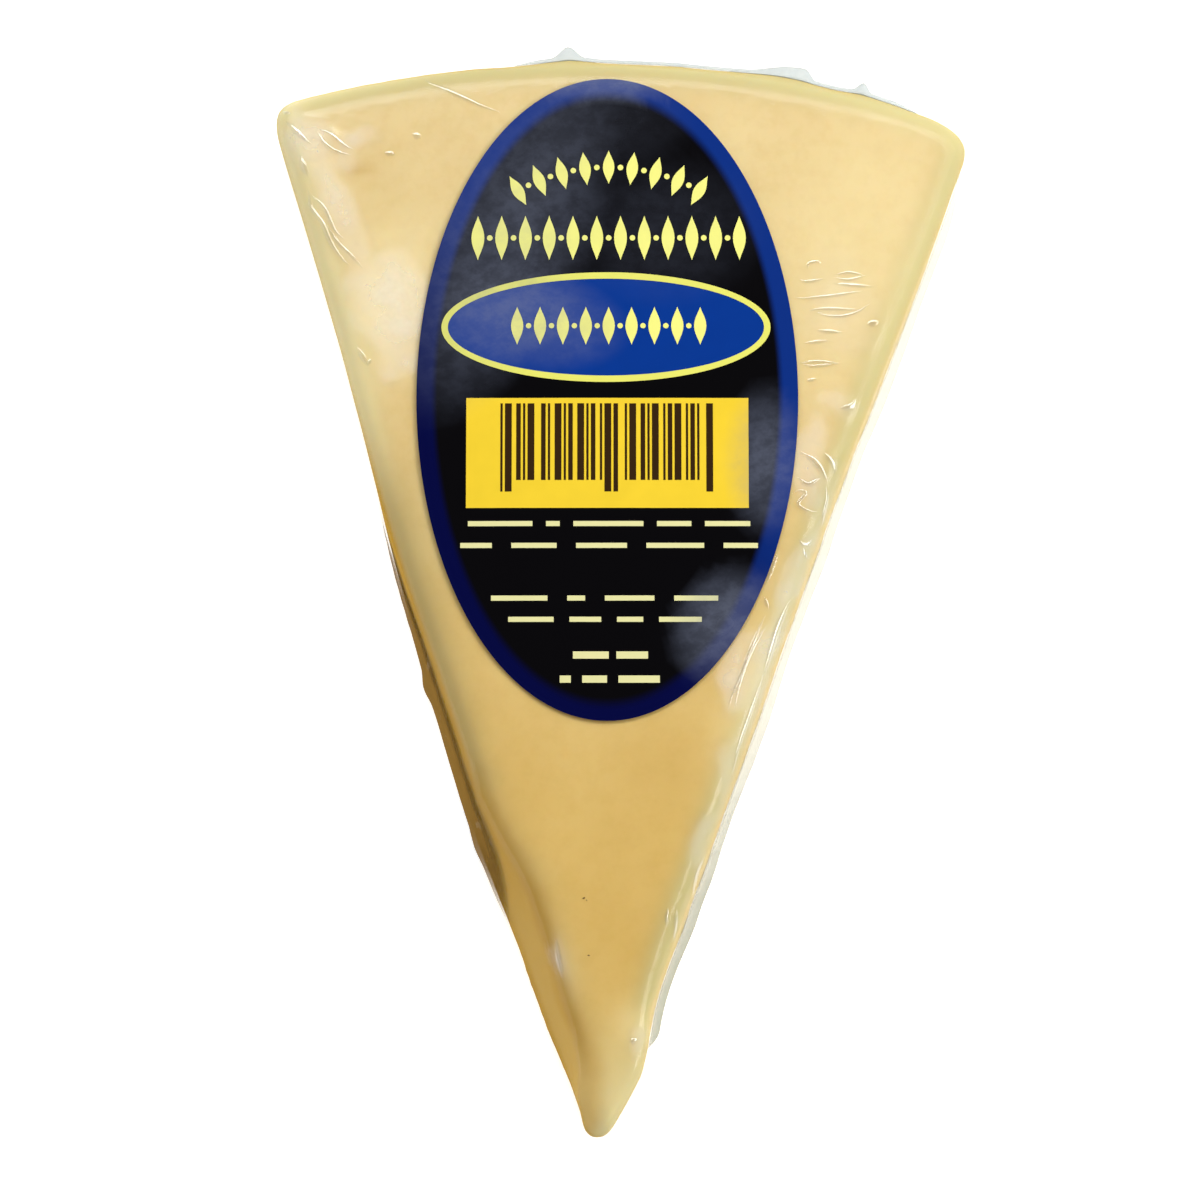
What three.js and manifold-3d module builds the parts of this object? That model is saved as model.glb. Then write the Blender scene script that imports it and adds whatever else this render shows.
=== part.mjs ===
// A wedge of parmesan sealed in clear film, lying flat on its cut face with an oval label on top.
// Millimetres. +Z is up, +X to the right and +Y from the tip to the rind, with the label facing up.
// The origin is on the resting face, under the middle of the wedge's box.

import * as THREE from "three";
import { LoftGeometry } from "three/addons/geometries/LoftGeometry.js";
import { mergeVertices } from "three/addons/utils/BufferGeometryUtils.js";
import Module from "manifold-3d";

const wasm = await Module();
wasm.setup();

// The two knife cuts run from the tip's sharp corner, and the rind is an arc of the whole wheel's edge
const tipCorner = new THREE.Vector2(-4.6, -84.5);
const rightCut = new THREE.Vector2(0.375, 1).normalize();
const leftCut = new THREE.Vector2(-0.308, 1).normalize();
const wheelCentre = new THREE.Vector2(-5.4, -94.4);
const wheelRadius = 173.7;
const tipRadius = 2.4;
// How far from each heel corner the rounding starts, along the cut and along the rind
const rightSoftening = { cut: 5, rind: 12 };
const leftSoftening = { cut: 5.5, rind: 4 };
const innerOutlineDepth = 2; // a second outline this far in sets how the edge roundings narrow

const height = 23.6; // to the crown of the label's face
const crownDrop = 0.9; // how much lower that face is at its edges
const crownReach = new THREE.Vector2(52, 82); // half the width and half the length that the drop is over
const crownCentre = new THREE.Vector2(0, 12);
const crownRingRadius = 10; // the round ring at the middle of the face that its cap closes
const crownRingStart = THREE.MathUtils.degToRad(-75);

// How finely the outline and the rings are divided
const cutSteps = 34;
const heelSteps = 5;
const rindSteps = 24;
const tipSteps = 8;
const footTurns = 3;
const edgeTurns = 5;
const wallRises = [0, 0.25, 0.5, 0.75];
const faceShares = [1, 0.92, 0.75, 0.5]; // each ring of the face beside its outermost one
const labelShares = [0, 0.45, 0.75, 1];
const labelSides = 60;

const baseEdgeRadius = 2;
const topEdgeRadius = 3.4;
const tipEdgeRadius = 2;
const tipEdgeFade = [-50, -68]; // Y where the upper edge starts to get tighter, and where it is tightest
const ridgeEdgeRadius = 1.3; // the crisp stretch of the left edge near the tip
const ridgeFadeIn = [-24, -40];
const ridgeFadeOut = [-70, -62];

// Where the walls leave their straight lines. Each bump stands out most at one Y and fades both ways,
// before it towards the tip and after it towards the rind.
const leftBow = { out: 1.1, at: 8, before: 22, after: 22 };
const leftFootFlare = { out: 2.7, at: -30, before: 28, after: 38 }; // at the foot alone
const rightHollow = { out: -0.7, at: 12, before: 30, after: 30 };
const tipSwell = { out: 2.3, at: -68, before: 10, after: 4.5 };
const ridgeInset = 3.4; // the left cut's upper edge draws in near the tip
const ridgeInsetIn = [-30, -46];
const ridgeInsetOut = [-76, -66];
const rightFootFlare = 0.4;
const rightFootFade = [70, 30];
const tipTaper = 0.8; // the left wall draws in on its last stretch
const tipTaperFade = [-64, -76];
const rindBulge = 1.1; // the rind is a little convex from top to bottom
const facingRind = [0.8, 0.95]; // how squarely an outline point faces the rind's side, from barely to fully
const facingLeft = [0.3, 0.8];

// Seams of doubled film, each along one side from one place to another, by Y on a cut and by X on the rind.
// rise says how high on the wall it starts, and root and edge how high its root and its free edge lie.
const filmSeam = 0.7; // two layers of film welded together, with a little air
const seamRoot = 1.5; // how far a seam is sunk in the body that it grows out of
const seamTaper = 0.8; // how thick the free edge is beside the root
const leastReach = 0.02;
const onSide = 0.85; // how squarely an outline point faces a side to belong to it
const seams = {
  right: {
    faces: (out) => out.x,
    along: "y",
    span: [-66, 66],
    fades: [3, 14],
    rise: 0.55,
    root: 13,
    edge: 11.5,
    wave: { height: 0.8, length: 44 },
    reach: 1.15,
    ripple: { height: 0.12, length: 26 },
    lobes: [],
    between: 0,
  },
  left: {
    faces: (out) => -out.x,
    along: "y",
    span: [-48, 28],
    fades: [8, 30],
    rise: 0.1,
    root: 4.6,
    edge: 3.4,
    wave: { height: 0.5, length: 19 },
    reach: 0.4,
    ripple: { height: 0, length: 1 },
    lobes: [
      { out: 0.6, at: -12, before: 3, after: 3 },
      { out: 0.35, at: -36, before: 3.5, after: 3.5 },
    ],
    between: 2,
  },
  rind: {
    faces: (out) => out.y,
    along: "x",
    span: [-16, 44],
    fades: [4, 4],
    rise: 0.93,
    root: 19.3,
    edge: 19,
    wave: { height: 0, length: 1 },
    reach: 0.3,
    ripple: { height: 0, length: 1 },
    lobes: [
      { out: 1.4, at: -8, before: 2.6, after: 2.6 },
      { out: 1.3, at: 27, before: 9, after: 1.8 },
      { out: 1.2, at: 35.6, before: 1.5, after: 1.5 },
    ],
    between: 4,
  },
};

const labelWidth = 55.8;
const labelLength = 95;
const labelCentre = new THREE.Vector2(-2.2, 28.2);
const labelThickness = 0.25;
const labelGap = 0.2;

// 0 at the first value of a fade and 1 at the second, whichever is the larger
const faded = ([from, to], value) => THREE.MathUtils.smoothstep((value - from) / (to - from), 0, 1);

// How far a bump stands out at a place along its side
function bumpAt({ out, at, before, after }, place) {
  const width = place < at ? before : after;
  return out * Math.exp(-(((place - at) / width) ** 2));
}

const waveAt = ({ height: swing, length }, place) => swing * Math.sin((2 * Math.PI * place) / length);

// The height of the label's face over any point of the plan
function faceHeight(x, y) {
  const across = (x - crownCentre.x) / crownReach.x;
  const along = (y - crownCentre.y) / crownReach.y;
  return height - crownDrop * (across ** 2 + along ** 2);
}

// The point where a cut that starts here meets the rind
function meetRind(start, direction, radius) {
  const toCentre = wheelCentre.clone().sub(start);
  const along = toCentre.dot(direction);
  const aside = toCentre.cross(direction);
  return start.clone().addScaledVector(direction, along + Math.sqrt(radius ** 2 - aside ** 2));
}

// The outline of the wedge seen from above, moved in by inset, counter-clockwise from the right
// of the tip, as points that carry their outward direction
function planOutline(inset) {
  const halfTip = (leftCut.angle() - rightCut.angle()) / 2;
  const inwards = rightCut.clone().add(leftCut).normalize();
  const tip = tipCorner.clone().addScaledVector(inwards, inset / Math.sin(halfTip));
  const rindRadius = wheelRadius - inset;
  const rightHeel = meetRind(tip, rightCut, rindRadius);
  const leftHeel = meetRind(tip, leftCut, rindRadius);
  const tipArcRadius = tipRadius - inset;
  const tipTangent = tipArcRadius / Math.tan(halfTip);
  const tipCentre = tip.clone().addScaledVector(inwards, tipArcRadius / Math.sin(halfTip));

  const rindStart = rightHeel.clone().sub(wheelCentre).angle() + (rightSoftening.rind - inset) / rindRadius;
  const rindEnd = leftHeel.clone().sub(wheelCentre).angle() - (leftSoftening.rind - inset) / rindRadius;
  const rind = new THREE.ArcCurve(wheelCentre.x, wheelCentre.y, rindRadius, rindStart, rindEnd, false);
  const rightCutStart = tip.clone().addScaledVector(rightCut, tipTangent);
  const rightCutEnd = rightHeel.clone().addScaledVector(rightCut, inset - rightSoftening.cut);
  const leftCutStart = leftHeel.clone().addScaledVector(leftCut, inset - leftSoftening.cut);
  const leftCutEnd = tip.clone().addScaledVector(leftCut, tipTangent);
  const tipStart = leftCut.angle() + Math.PI / 2;
  const tipEnd = rightCut.angle() + (3 * Math.PI) / 2;
  const tipArc = new THREE.ArcCurve(tipCentre.x, tipCentre.y, tipArcRadius, tipStart, tipEnd, false);
  const stretches = [
    [new THREE.LineCurve(rightCutStart, rightCutEnd), cutSteps],
    [new THREE.QuadraticBezierCurve(rightCutEnd, rightHeel, rind.getPoint(0)), heelSteps],
    [rind, rindSteps],
    [new THREE.QuadraticBezierCurve(rind.getPoint(1), leftHeel, leftCutStart), heelSteps],
    [new THREE.LineCurve(leftCutStart, leftCutEnd), cutSteps],
    [tipArc, tipSteps],
  ];
  return stretches.flatMap(([curve, steps]) =>
    Array.from({ length: steps }, (unused, i) => {
      const tangent = curve.getTangent(i / steps);
      return { at: curve.getPoint(i / steps), out: new THREE.Vector2(tangent.y, -tangent.x) };
    }),
  );
}

// How far the wall stands out from the plain outline at a point, and at a rise that goes from 0
// at its foot to 1 at its upper edge
function wallOffset({ at, out }, rise) {
  const inset = ridgeInset * faded(ridgeInsetIn, at.y) * faded(ridgeInsetOut, at.y);
  const taper = tipTaper * faded(tipTaperFade, at.y);
  const left = bumpAt(leftBow, at.y) + bumpAt(leftFootFlare, at.y) * (1 - rise) - inset * rise - taper;
  const rightFoot = rightFootFlare * faded(rightFootFade, at.y) * (1 - rise);
  const right = bumpAt(rightHollow, at.y) + bumpAt(tipSwell, at.y) + rightFoot;
  const rind = rindBulge * Math.sin(Math.PI * rise) * faded(facingRind, out.y);
  return left * Math.max(0, -out.x) + right * Math.max(0, out.x) + rind;
}

// The radius of the rounding along the upper edge
function edgeRadius({ at, out }) {
  const radius = THREE.MathUtils.lerp(topEdgeRadius, tipEdgeRadius, faded(tipEdgeFade, at.y));
  const onRidge = faded(facingLeft, -out.x) * faded(ridgeFadeIn, at.y) * faded(ridgeFadeOut, at.y);
  return THREE.MathUtils.lerp(radius, ridgeEdgeRadius, onRidge);
}

const innerOutline = planOutline(innerOutlineDepth);
const outline = planOutline(0).map((point, i) => ({ ...point, inner: innerOutline[i].at }));

// The plan position of an outline point on the wall, moved in by inset
function onWall(point, rise, inset = 0) {
  return point.at
    .clone()
    .lerp(point.inner, inset / innerOutlineDepth)
    .addScaledVector(point.out, wallOffset(point, rise));
}

// The wedge in its film: rings from the flat resting face up the wall and in over the label's face
function wedgeGeometry() {
  const ringAt = (place) =>
    outline.map((point, i) => {
      const { plan, z } = place(point, i);
      return new THREE.Vector3(plan.x, plan.y, z);
    });
  const footRing = (turn) =>
    ringAt((point) => ({
      plan: onWall(point, 0, baseEdgeRadius * (1 - Math.sin(turn))),
      z: baseEdgeRadius * (1 - Math.cos(turn)),
    }));
  const wallRing = (rise) =>
    ringAt((point) => {
      const plan = onWall(point, rise);
      const top = faceHeight(plan.x, plan.y) - edgeRadius(point);
      return { plan, z: THREE.MathUtils.lerp(baseEdgeRadius, top, rise) };
    });
  const edgeRing = (turn) =>
    ringAt((point) => {
      const radius = edgeRadius(point);
      const plan = onWall(point, 1, radius * (1 - Math.cos(turn)));
      return { plan, z: faceHeight(plan.x, plan.y) - radius * (1 - Math.sin(turn)) };
    });
  const faceRing = (share) =>
    ringAt((point) => {
      const plan = onWall(point, 1, edgeRadius(point)).lerp(crownCentre, 1 - share);
      return { plan, z: faceHeight(plan.x, plan.y) };
    });
  const crownRing = ringAt((point, i) => {
    const angle = crownRingStart + (i / outline.length) * 2 * Math.PI;
    const plan = new THREE.Vector2(Math.cos(angle), Math.sin(angle)).multiplyScalar(crownRingRadius);
    plan.add(crownCentre);
    return { plan, z: faceHeight(plan.x, plan.y) };
  });
  const quarterTurn = (steps) => Array.from({ length: steps }, (unused, i) => (i / steps) * (Math.PI / 2));
  const sections = [
    ...quarterTurn(footTurns).map(footRing),
    ...wallRises.map(wallRing),
    ...quarterTurn(edgeTurns).map(edgeRing),
    ...faceShares.map(faceRing),
    crownRing,
  ];
  return new LoftGeometry(sections, { capStart: true, capEnd: true });
}

// The outline points that a seam follows, with extra ones between so that its lobes stay smooth
function seamPath({ faces, along, span, between }) {
  const [from, to] = span;
  const found = outline.filter(({ at, out }) => faces(out) > onSide && at[along] > from && at[along] < to);
  const steps = between + 1;
  return found.slice(0, -1).flatMap((point, i) =>
    Array.from({ length: steps }, (unused, step) => ({
      at: point.at.clone().lerp(found[i + 1].at, step / steps),
      out: point.out.clone().lerp(found[i + 1].out, step / steps),
      inner: point.inner.clone().lerp(found[i + 1].inner, step / steps),
    })),
  );
}

// A seam of doubled film that grows out of the wall, droops to its free edge and dies out at both ends
function seamGeometry(seam) {
  const [from, to] = seam.span;
  const half = filmSeam / 2;
  const sections = seamPath(seam).map((point) => {
    const place = point.at[seam.along];
    const ends = faded([from, from + seam.fades[0]], place) * faded([to, to - seam.fades[1]], place);
    const lobes = seam.lobes.reduce((sum, lobe) => sum + bumpAt(lobe, place), 0);
    const reach = Math.max(leastReach, (seam.reach + waveAt(seam.ripple, place)) * ends + lobes);
    const droop = (seam.edge + waveAt(seam.wave, place) - seam.root) * Math.min(1, reach);
    const root = onWall(point, seam.rise, seamRoot);
    const edge = onWall(point, seam.rise, -reach);
    return [
      new THREE.Vector3(root.x, root.y, seam.root - half),
      new THREE.Vector3(root.x, root.y, seam.root + half),
      new THREE.Vector3(edge.x, edge.y, seam.root + droop + half * seamTaper),
      new THREE.Vector3(edge.x, edge.y, seam.root + droop - half * seamTaper),
    ];
  });
  return new LoftGeometry(sections, { capStart: true, capEnd: true });
}

// The paper label: a turned disc stretched to an oval, that follows the crown of the face under it
function labelGeometry() {
  const profile = [
    ...labelShares.map((share) => new THREE.Vector2(share, 0)),
    ...labelShares.toReversed().map((share) => new THREE.Vector2(share, labelThickness)),
  ];
  const geometry = new THREE.LatheGeometry(profile, labelSides)
    .rotateX(Math.PI / 2)
    .scale(labelWidth / 2, labelLength / 2, 1)
    .translate(labelCentre.x, labelCentre.y, labelGap);
  const position = geometry.getAttribute("position");
  for (let i = 0; i < position.count; i += 1) {
    position.setZ(i, position.getZ(i) + faceHeight(position.getX(i), position.getY(i)));
  }
  return geometry;
}

// A closed geometry as a manifold-3d solid
function solidOf(geometry) {
  const bare = new THREE.BufferGeometry()
    .setAttribute("position", geometry.getAttribute("position"))
    .setIndex(geometry.index);
  const merged = mergeVertices(bare);
  return new wasm.Manifold(
    new wasm.Mesh({
      numProp: 3,
      vertProperties: merged.getAttribute("position").array,
      triVerts: new Uint32Array(merged.index.array),
    }),
  );
}

function geometryOf(solid) {
  const { vertProperties, triVerts } = solid.getMesh();
  const geometry = new THREE.BufferGeometry()
    .setAttribute("position", new THREE.BufferAttribute(vertProperties, 3))
    .setIndex(new THREE.BufferAttribute(triVerts, 1));
  geometry.computeVertexNormals();
  return geometry;
}

// The bag is one piece, so its seams are joined to the body
function wrappedWedge() {
  const joined = Object.values(seams).reduce(
    (whole, seam) => whole.add(solidOf(seamGeometry(seam))),
    solidOf(wedgeGeometry()),
  );
  const mesh = new THREE.Mesh(
    geometryOf(joined),
    new THREE.MeshStandardMaterial({ color: 0xf2d594, roughness: 0.22, metalness: 0 }),
  );
  mesh.name = "film_wrapped_wedge";
  return mesh;
}

function label() {
  const mesh = new THREE.Mesh(
    labelGeometry(),
    new THREE.MeshStandardMaterial({ color: 0x0b1440, roughness: 0.35, metalness: 0 }),
  );
  mesh.name = "label";
  return mesh;
}

const cheese = new THREE.Group();
cheese.add(wrappedWedge(), label());

// The origin goes under the middle of the box
const box = new THREE.Box3().setFromObject(cheese);
const middle = box.getCenter(new THREE.Vector3());
cheese.position.set(-middle.x, -middle.y, -box.min.z);

export default cheese;
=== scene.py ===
"""A wedge of hard cheese in clear vacuum film with an oval label, dressed over its CAD solids."""

import math

import bmesh
import bpy
import numpy as np
from bpy.props import FloatProperty, FloatVectorProperty, PointerProperty
from mathutils import Matrix, Vector, noise
from mathutils.bvhtree import BVHTree


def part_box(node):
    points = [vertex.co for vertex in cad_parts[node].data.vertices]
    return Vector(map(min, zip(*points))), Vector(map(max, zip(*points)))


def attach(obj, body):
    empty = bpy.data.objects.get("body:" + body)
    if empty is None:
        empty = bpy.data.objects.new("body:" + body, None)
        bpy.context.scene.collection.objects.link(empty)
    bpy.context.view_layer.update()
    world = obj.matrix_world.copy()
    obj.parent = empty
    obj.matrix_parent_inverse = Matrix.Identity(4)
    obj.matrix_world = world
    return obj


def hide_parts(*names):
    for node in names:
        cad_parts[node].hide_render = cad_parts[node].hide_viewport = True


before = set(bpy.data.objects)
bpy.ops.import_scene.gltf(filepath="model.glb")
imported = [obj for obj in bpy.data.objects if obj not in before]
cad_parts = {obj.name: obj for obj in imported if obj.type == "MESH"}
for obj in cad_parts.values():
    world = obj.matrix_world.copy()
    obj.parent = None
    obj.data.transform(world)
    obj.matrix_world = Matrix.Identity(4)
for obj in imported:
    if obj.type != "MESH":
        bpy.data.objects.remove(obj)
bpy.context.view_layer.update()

bl_info = {
    "name": "Film-wrapped cheese wedge",
    "version": (1, 0, 0),
    "blender": (4, 5, 0),
    "location": "3D View > Sidebar > Cheese wedge",
    "description": "Cheese, clear film, label and printed shapes over the packed solids",
    "category": "Object",
}

MM = 0.001
WEDGE_NODE = "film_wrapped_wedge"
LABEL_NODE = "label"
BODY = "root"
LABEL_LOW, LABEL_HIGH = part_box(LABEL_NODE)
LABEL_MIDDLE = (LABEL_LOW + LABEL_HIGH) / 2
LABEL_HALF = (LABEL_HIGH - LABEL_LOW) / 2


def linear(code):
    """An sRGB hex colour, such as #f2db9a, as linear light."""
    shares = [int(code[i : i + 2], 16) / 255 for i in (1, 3, 5)]
    return [s / 12.92 if s <= 0.04045 else ((s + 0.055) / 1.055) ** 2.4 for s in shares]


def length(name, description, default_mm, low_mm=0.0):
    """A size that a user can change, given in millimetres and kept in metres."""
    return FloatProperty(
        name=name,
        description=description,
        default=default_mm * MM,
        min=low_mm * MM,
        subtype="DISTANCE",
        unit="LENGTH",
        precision=5,
    )


def colour(name, description, code):
    """A colour that a user can change, given as an sRGB hex value."""
    return FloatVectorProperty(
        name=name, description=description, default=linear(code), size=3, subtype="COLOR", min=0, max=1
    )


def number(name, description, default, low=0.0, high=1000.0):
    """A plain number that a user can change."""
    return FloatProperty(name=name, description=description, default=default, min=low, max=high)


class CheeseSettings(bpy.types.PropertyGroup):
    voxel: length("Detail", "Spacing of the cheese's mesh", 0.8, 0.3)
    film_gap: length("Film gap", "How far the cheese lies under the film", 0.25)
    paste: colour("Paste", "Colour of the cheese's face towards the tip", "#e0be72")
    pale: colour("Pale paste", "Colour of the cheese's face near the rind", "#e9d29c")
    # painted shade and light: the rounded edges and the tip drawn pale and greenish, as where they turn from the
    # light and light comes through the thin paste
    edge: colour("Edge", "Colour of the rounded edges, where light comes through", "#cdc893")
    # painted highlight: the film's sheen, the upper left edge and the tip drawn pale into the cheese's colour
    lit: colour("Lit paste", "Colour of the cheese where the film presses it pale", "#f9e8b0")
    # painted shade: the face drawn darker and olive where it slopes away from the light, and on the edges that face
    # the lights
    olive_shade: colour("Olive paste", "Colour of the face where it slopes to the left cut", "#a3935c")
    # the deep tone of the paste's own mottle, and painted shade down the cut walls
    deep_and_wall_shade: colour("Deep paste", "Colour of the cheese down its cut walls", "#be8f2a")
    # painted shadow: the cheese drawn dark in the fold of the left wall
    fold_shadow: colour("Fold", "Colour of the cheese in the dark fold of the left wall", "#4c3716")
    fleck: colour("Fleck", "Colour of the few dark flecks in the paste", "#6b4a1e")


class FilmSettings(bpy.types.PropertyGroup):
    voxel: length("Detail", "Spacing of the film's mesh", 0.56, 0.4)
    weld_thickness: length("Weld thickness", "Two layers of film, welded", 0.2)
    haze_and_sheen: colour("Haze", "Colour of the light that the film throws back", "#fbfbf8")
    weld: colour("Welded film", "Colour of the welded edge of the pouch", "#a9b6b6")
    shaded_weld: colour("Shaded weld", "Colour of the welded edge at the right", "#b0b29c")
    # painted shade: the clear doubled film on the left wall drawn brown and opaque where it lies in shade
    doubled_film_shade: colour("Doubled film", "Colour of film that lies doubled on the wall", "#9b7638")
    roughness: number("Roughness", "How soft the film's reflections are", 0.16, high=1.0)


class LabelSettings(bpy.types.PropertyGroup):
    thickness: length("Thickness", "Of the label's paper", 0.12)
    rim_width: length("Blue rim", "Width of the blue band round the label", 2.7)
    field: colour("Field", "Colour of the label's dark field", "#050406")
    rim: colour("Rim", "Colour of the upper part of the label's blue band", "#0b2d7c")
    # painted shade: the lower part of the blue band drawn darker
    shaded_rim: colour("Lower rim", "Colour of the lower part of the blue band", "#02053c")
    oval: colour("Oval", "Colour of the blue oval", "#06358c")
    ring: colour("Ring", "Colour of the ring round the blue oval", "#e6e46c")
    panel: colour("Panel", "Colour of the yellow panel", "#f3cf34")
    # painted sheen: soft reflections on the varnish drawn into the label's colour where it is hazed
    haze_and_sheen: colour("Haze", "Colour of the light that the hazed varnish scatters", "#767d94")
    bars: colour("Bars", "Colour of the bars on the panel", "#35230f")
    pale_ink: colour("Pale ink", "Colour of the small print's lines", "#e6e2a4")
    bold_ink: colour("Bold ink", "Colour of the large ornaments", "#f3f083")
    paper: colour("Paper", "Colour of the label's cut edge", "#6c7080")


class StageSettings(bpy.types.PropertyGroup):
    floor_size: length("Floor", "Side of the floor", 3000, 500)
    floor_colour: colour("Floor colour", "Colour of the floor", "#f4f4f2")
    key_power: number("Key", "Power of the main softbox in watts", 4.0)
    fill_power: number("Fill", "Power of the long softbox behind, in watts", 3.0)
    room_light: number("Room light", "Strength of the even light of the room", 0.45)
    lens: number("Lens", "Focal length in millimetres on a 36 mm sensor", 103.38, low=10.0)


def settings():
    return bpy.context.scene.wedge_pack


def finished(name, shape, materials):
    """Turns a bmesh or a mesh into a smooth piece that rides on the one body."""
    mesh = shape
    if isinstance(shape, bmesh.types.BMesh):
        mesh = bpy.data.meshes.new(name)
        shape.to_mesh(mesh)
        shape.free()
    mesh.shade_smooth()
    for material in materials:
        mesh.materials.append(material)
    piece = bpy.data.objects.new(name, mesh)
    bpy.context.scene.collection.objects.link(piece)
    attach(piece, BODY)
    return piece


def coordinates(mesh):
    flat = np.empty(len(mesh.vertices) * 3, np.float64)
    mesh.vertices.foreach_get("co", flat)
    return flat.reshape(-1, 3)


def normals(mesh):
    flat = np.empty(len(mesh.vertices) * 3, np.float32)
    mesh.vertices.foreach_get("normal", flat)
    return flat.reshape(-1, 3).astype(np.float64)


def put_coordinates(mesh, points):
    mesh.vertices.foreach_set("co", points.astype(np.float32).ravel())
    mesh.update()


def put_attribute(mesh, name, values):
    """Keeps one number for each vertex, for the material to read."""
    attribute = mesh.attributes.new(name, "FLOAT", "POINT")
    attribute.data.foreach_set("value", values.astype(np.float32))


def blurred(mesh, values, steps):
    """Evens out one number for each vertex with its neighbours' along the mesh's edges."""
    pairs = np.empty(len(mesh.edges) * 2, np.int32)
    mesh.edges.foreach_get("vertices", pairs)
    first, second = pairs[0::2], pairs[1::2]
    size = len(mesh.vertices)
    count = np.maximum(1, np.bincount(first, minlength=size) + np.bincount(second, minlength=size))
    for step in range(steps):
        around = np.bincount(first, values[second], size) + np.bincount(second, values[first], size)
        values = (values + around / count) / 2
    return values


def search_tree(mesh):
    return BVHTree.FromPolygons([v.co for v in mesh.vertices], [p.vertices for p in mesh.polygons])


def remeshed_wedge(name, voxel):
    """An even mesh over the CAD wedge, in metres."""
    bm = bmesh.new()
    bm.from_mesh(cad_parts[WEDGE_NODE].data)
    bmesh.ops.remove_doubles(bm, verts=bm.verts, dist=0.01 * MM)
    mesh = bpy.data.meshes.new(name)
    bm.to_mesh(mesh)
    bm.free()
    piece = bpy.data.objects.new(name, mesh)
    bpy.context.scene.collection.objects.link(piece)
    remesh = piece.modifiers.new("Even mesh", "REMESH")
    remesh.mode = "VOXEL"
    remesh.voxel_size = voxel
    remesh.adaptivity = 0
    evaluated = piece.evaluated_get(bpy.context.evaluated_depsgraph_get())
    even = bpy.data.meshes.new_from_object(evaluated)
    bpy.data.objects.remove(piece)
    return even


SEAM_BANDS = (  # where the CAD's welded seams stand out, in mm: (side, from and to along it, from and to in height)
    ("right", (-74, 74), (8.5, 16.5)),
    ("left", (-56, 34), (1.2, 8)),
    ("rind", (-20, 48), (16.8, 22.2)),
)
SEAM_SMOOTHING = 2.4  # mm over which the seams are smoothed off
BROW_SMOOTHING = 2.2  # mm over which the face's edge is rounded
SLOPE_SMOOTHING = 4.0  # mm over which the slope at the lower left is rounded
WHOLE_SMOOTHING = 4  # rounds over the whole mesh, which take out the steps of its voxels


def in_seam(x, y, z):
    """Whether a point in mm lies where the CAD has a welded seam."""
    beside = {
        "right": x > ridge_right(y) - 5,
        "left": x < ridge_left(y) + 4,
        "rind": y > 62 and abs(x) < 46,
    }
    for side, (start, end), (low, high) in SEAM_BANDS:
        place = x if side == "rind" else y
        if beside[side] and start < place < end and low < z < high:
            return True
    return False


def relax(bm, verts, steps, in_height=True):
    """Moves vertices half way to the middle of their neighbours, some times."""
    for step in range(steps):
        bmesh.ops.smooth_vert(bm, verts=verts, factor=0.5, use_axis_x=True, use_axis_y=True, use_axis_z=in_height)


def bare_wedge(name, voxel):
    """The wedge with its welded seams smoothed off, which are pieces of their own, and its face's edge rounded."""
    even = remeshed_wedge(name, voxel)
    bm = bmesh.new()
    bm.from_mesh(even)
    bm.normal_update()
    seams = [v for v in bm.verts if in_seam(*(c / MM for c in v.co))]
    relax(bm, seams, int(round((SEAM_SMOOTHING * MM / voxel) ** 2 * 4)), in_height=False)
    brow = [v for v in bm.verts if v.co.z > 16 * MM and v.normal.z > 0.2]
    lower_left = [v for v in bm.verts if v.co.y < -26 * MM and v.co.x < -2 * MM]
    slope = [v for v in lower_left if v.co.z > 8 * MM and v.normal.z > 0.15]
    for verts, reach in ((brow, BROW_SMOOTHING), (slope, SLOPE_SMOOTHING)):
        relax(bm, verts, int(round((reach * MM / voxel) ** 2 * 1.5)))
    relax(bm, bm.verts, WHOLE_SMOOTHING)
    bm.to_mesh(even)
    bm.free()
    even.update()
    return even


def ridge_right(y):
    """Roughly where the right cut's wall stands, in mm, from its place along the wedge."""
    return -4.4 + 0.375 * (y + 85.3)


def ridge_left(y):
    """Roughly where the left cut's wall stands, in mm, from its place along the wedge."""
    return -4.4 - 0.308 * (y + 85.3)


def smooth_step(low, high, value):
    share = np.clip((value - low) / (high - low), 0, 1)
    return share * share * (3 - 2 * share)


def to_route(route, x, y):
    """Distance from points to a polyline, and how far along it the nearest point lies, from 0 to 1."""
    points = np.array(route, float)
    spans = np.diff(points, axis=0)
    lengths = np.hypot(*spans.T)
    whole = lengths.sum()
    best = np.full(x.shape, 1e9)
    along = np.zeros(x.shape)
    done = 0.0
    for start, span, size in zip(points, spans, lengths):
        share = np.clip(((x - start[0]) * span[0] + (y - start[1]) * span[1]) / size**2, 0, 1)
        gap = np.hypot(x - start[0] - share * span[0], y - start[1] - share * span[1])
        nearer = gap < best
        best = np.where(nearer, gap, best)
        along = np.where(nearer, (done + share * size) / whole, along)
        done += size
    return best, along


# Where the face turns down to the left cut, and the painted shadow of the dark fold at the wall's middle, in mm
LEFT_BROW = (
    (-36.5, 27.1), (-34.5, 19.0), (-32.3, 9.4), (-30.0, 0.6),
    (-27.8, -8.2), (-25.6, -15.5), (-23.7, -21.3), (-22.3, -28.5),
)
LOWER_BROW = (
    (-22.4, -28.5), (-19.0, -35.7), (-15.7, -41.5), (-13.2, -45.8),
    (-10.3, -53.7), (-8.8, -60.2), (-6.2, -67.4), (-3.4, -72.3),
)
FOLD_SHADOW_ROUTE = ((-23.7, -27.4), (-22.6, -31.8), (-21.1, -36.9), (-18.9, -42.0))

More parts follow.
